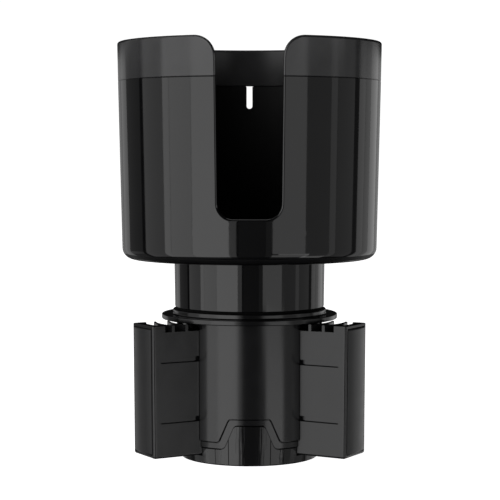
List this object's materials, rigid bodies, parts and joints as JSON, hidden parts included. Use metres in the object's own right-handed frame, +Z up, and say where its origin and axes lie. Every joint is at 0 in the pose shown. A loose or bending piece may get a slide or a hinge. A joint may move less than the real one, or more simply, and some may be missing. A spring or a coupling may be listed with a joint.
{
  "type": "car cup holder",
  "caption": "Expanding car cup holder: a wide slotted cup on a stem turns a scroll that drives gripping fins out of a round base.",
  "frame": {"origin": "middle of the base's underside, on the axis that the cup turns about", "axes": "+Z up along the axis of the cup and stem; the handle slot faces -Y and the finger slit +Y"},
  "size_m": [0.107, 0.1055, 0.1681],
  "materials": {
    "cup_gloss": "polished black moulding",
    "rim_satin": "satin black moulding",
    "cover_gloss": "polished black moulding",
    "housing_matte": "fine matte black moulding",
    "cap_gloss": "polished black moulding",
    "fin_plastic": "satin black moulding",
    "pad_rubber": "smooth black rubber",
    "inner_plastic": "plain moulded",
    "washer_rubber": "plain",
    "screw_steel": "zinc plated"
  },
  "bodies": {
    "base": {"base_housing": "housing_matte", "base_cover": "cover_gloss", "bottom_cap": "cap_gloss", "cap_screws": "screw_steel", "friction_washer": "washer_rubber"},
    "cup": {"cup_body": "cup_gloss", "rim_ring": "rim_satin", "scroll_disc": "inner_plastic", "scroll_screws": "screw_steel"},
    "fin_left": {"fin_carrier_left": "fin_plastic", "fin_pad_left": "pad_rubber"},
    "fin_right": {"fin_carrier_right": "fin_plastic", "fin_pad_right": "pad_rubber"},
    "fin_rear": {"fin_carrier_rear": "fin_plastic", "fin_pad_rear": "pad_rubber"}
  },
  "joints": [
    {"name": "cup_twist", "type": "hinge", "parent": "base", "child": "cup", "pos_m": [0, 0, 0.0604], "axis": [0, 0, 1], "range_deg": [0, 270]},
    {"name": "fin_left_slide", "type": "slide", "parent": "base", "child": "fin_left", "axis": [-0.866, -0.5, 0], "range_m": [-0.01355, 0]},
    {"name": "fin_right_slide", "type": "slide", "parent": "base", "child": "fin_right", "axis": [0.866, -0.5, 0], "range_m": [-0.01355, 0]},
    {"name": "fin_rear_slide", "type": "slide", "parent": "base", "child": "fin_rear", "axis": [0, 1, 0], "range_m": [-0.01355, 0]}
  ],
  "couplings": [
    {"joint": "fin_left_slide", "follows": "cup_twist", "m_per_rad": -0.0028648},
    {"joint": "fin_right_slide", "follows": "cup_twist", "m_per_rad": -0.0028648},
    {"joint": "fin_rear_slide", "follows": "cup_twist", "m_per_rad": -0.0028648}
  ]
}
